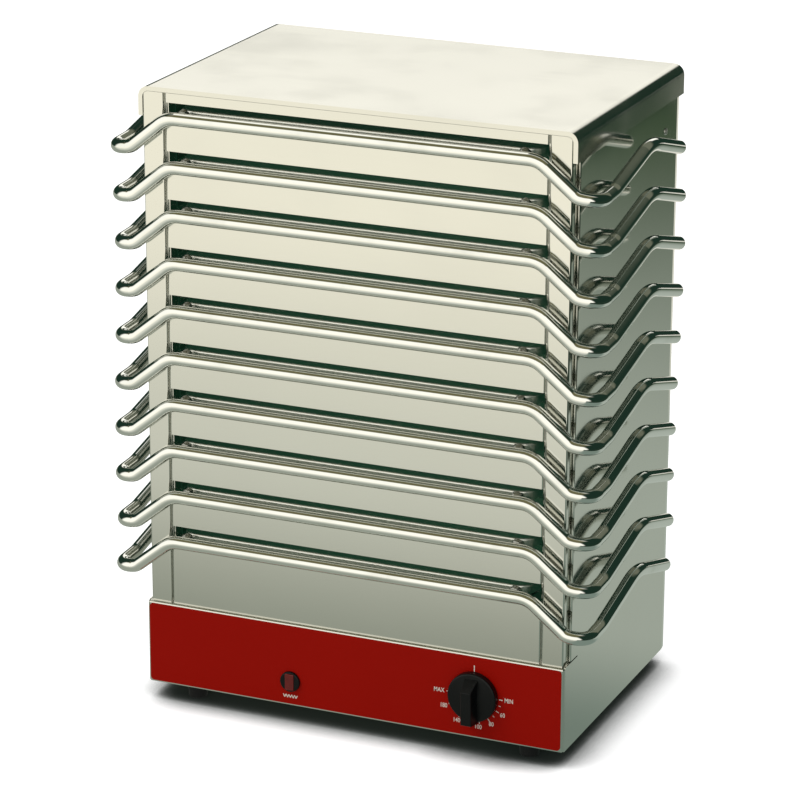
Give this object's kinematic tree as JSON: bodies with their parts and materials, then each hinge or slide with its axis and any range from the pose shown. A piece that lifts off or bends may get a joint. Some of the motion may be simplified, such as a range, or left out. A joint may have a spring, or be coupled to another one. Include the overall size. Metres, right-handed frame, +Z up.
{
  "type": "plate warmer cabinet",
  "caption": "Countertop plate warmer: stainless cabinet with slots for aluminium warming plates on bent chromed rod carriers, above a red control base with thermostat and pilot lamp.",
  "frame": {"origin": "middle of the whole object in plan, at the feet's underside", "axes": "+X to the right seen from the front, +Y to the back, +Z up; the plates draw out towards -Y"},
  "size_m": [0.3888, 0.2628, 0.475],
  "materials": {
    "stainless": "polished stainless sheet",
    "inner_steel": "mill-finish stainless sheet",
    "chromed_rod": "bright chrome plating",
    "plate_aluminium": "satin rolled aluminium",
    "fasteners": "bright zinc-plated steel",
    "red_enamel": "smooth satin enamel",
    "element_sheath": "heat-tinted steel sheath",
    "black_plastic": "satin moulded plastic",
    "dark_plastic": "matt moulded plastic",
    "white_plastic": "matt moulded plastic",
    "copper_tube": "drawn copper",
    "red_lens": "clear red plastic",
    "foot_rubber": "matt black rubber"
  },
  "bodies": {
    "cabinet": {"back_panel": "inner_steel", "base_tray": "inner_steel", "bulb_clip": "inner_steel", "cable_gland": "dark_plastic", "chamber_floor": "inner_steel", "column_left": "stainless", "column_right": "stainless", "control_panel": "stainless", "earth_stud": "fasteners", "element_bushes": "fasteners", "element_support_left": "inner_steel", "element_support_right": "inner_steel", "fascia": "red_enamel", "foot_front_left": "foot_rubber", "foot_front_right": "foot_rubber", "foot_rear_left": "foot_rubber", "foot_rear_right": "foot_rubber", "foot_screws": "fasteners", "gland_nut": "dark_plastic", "heating_element": "element_sheath", "ladder_panel": "stainless", "panel_screws": "fasteners", "pilot_bezel": "black_plastic", "pilot_lens": "red_lens", "rack_left": "inner_steel", "rack_right": "inner_steel", "rack_spacer_left_lower": "inner_steel", "rack_spacer_left_upper": "inner_steel", "rack_spacer_right_lower": "inner_steel", "rack_spacer_right_upper": "inner_steel", "side_panel_left": "stainless", "side_panel_right": "stainless", "side_rivets": "fasteners", "terminal_block": "white_plastic", "thermostat_body": "dark_plastic", "thermostat_bulb": "copper_tube", "thermostat_screws": "fasteners", "top_cover": "stainless"},
    "knob": {"thermostat_knob": "black_plastic", "thermostat_shaft": "fasteners"},
    "plate_01": {"warming_plate_01": "plate_aluminium", "plate_carrier_01": "chromed_rod"},
    "plate_02": {"warming_plate_02": "plate_aluminium", "plate_carrier_02": "chromed_rod"},
    "plate_03": {"warming_plate_03": "plate_aluminium", "plate_carrier_03": "chromed_rod"},
    "plate_04": {"warming_plate_04": "plate_aluminium", "plate_carrier_04": "chromed_rod"},
    "plate_05": {"warming_plate_05": "plate_aluminium", "plate_carrier_05": "chromed_rod"},
    "plate_06": {"warming_plate_06": "plate_aluminium", "plate_carrier_06": "chromed_rod"},
    "plate_07": {"warming_plate_07": "plate_aluminium", "plate_carrier_07": "chromed_rod"},
    "plate_08": {"warming_plate_08": "plate_aluminium", "plate_carrier_08": "chromed_rod"},
    "plate_09": {"warming_plate_09": "plate_aluminium", "plate_carrier_09": "chromed_rod"},
    "plate_10": {"warming_plate_10": "plate_aluminium", "plate_carrier_10": "chromed_rod"}
  },
  "joints": [
    {"name": "knob_turn", "type": "hinge", "parent": "cabinet", "child": "knob", "pos_m": [0.0982, -0.1142, 0.047], "axis": [0, 1, 0], "range_deg": [-180, 90]},
    {"name": "plate_slide_01", "type": "slide", "parent": "cabinet", "child": "plate_01", "axis": [0, -1, 0], "range_m": [0, 0.215]},
    {"name": "plate_slide_02", "type": "slide", "parent": "cabinet", "child": "plate_02", "axis": [0, -1, 0], "range_m": [0, 0.215]},
    {"name": "plate_slide_03", "type": "slide", "parent": "cabinet", "child": "plate_03", "axis": [0, -1, 0], "range_m": [0, 0.215]},
    {"name": "plate_slide_04", "type": "slide", "parent": "cabinet", "child": "plate_04", "axis": [0, -1, 0], "range_m": [0, 0.215]},
    {"name": "plate_slide_05", "type": "slide", "parent": "cabinet", "child": "plate_05", "axis": [0, -1, 0], "range_m": [0, 0.215]},
    {"name": "plate_slide_06", "type": "slide", "parent": "cabinet", "child": "plate_06", "axis": [0, -1, 0], "range_m": [0, 0.215]},
    {"name": "plate_slide_07", "type": "slide", "parent": "cabinet", "child": "plate_07", "axis": [0, -1, 0], "range_m": [0, 0.215]},
    {"name": "plate_slide_08", "type": "slide", "parent": "cabinet", "child": "plate_08", "axis": [0, -1, 0], "range_m": [0, 0.215]},
    {"name": "plate_slide_09", "type": "slide", "parent": "cabinet", "child": "plate_09", "axis": [0, -1, 0], "range_m": [0, 0.215]},
    {"name": "plate_slide_10", "type": "slide", "parent": "cabinet", "child": "plate_10", "axis": [0, -1, 0], "range_m": [0, 0.215]}
  ]
}
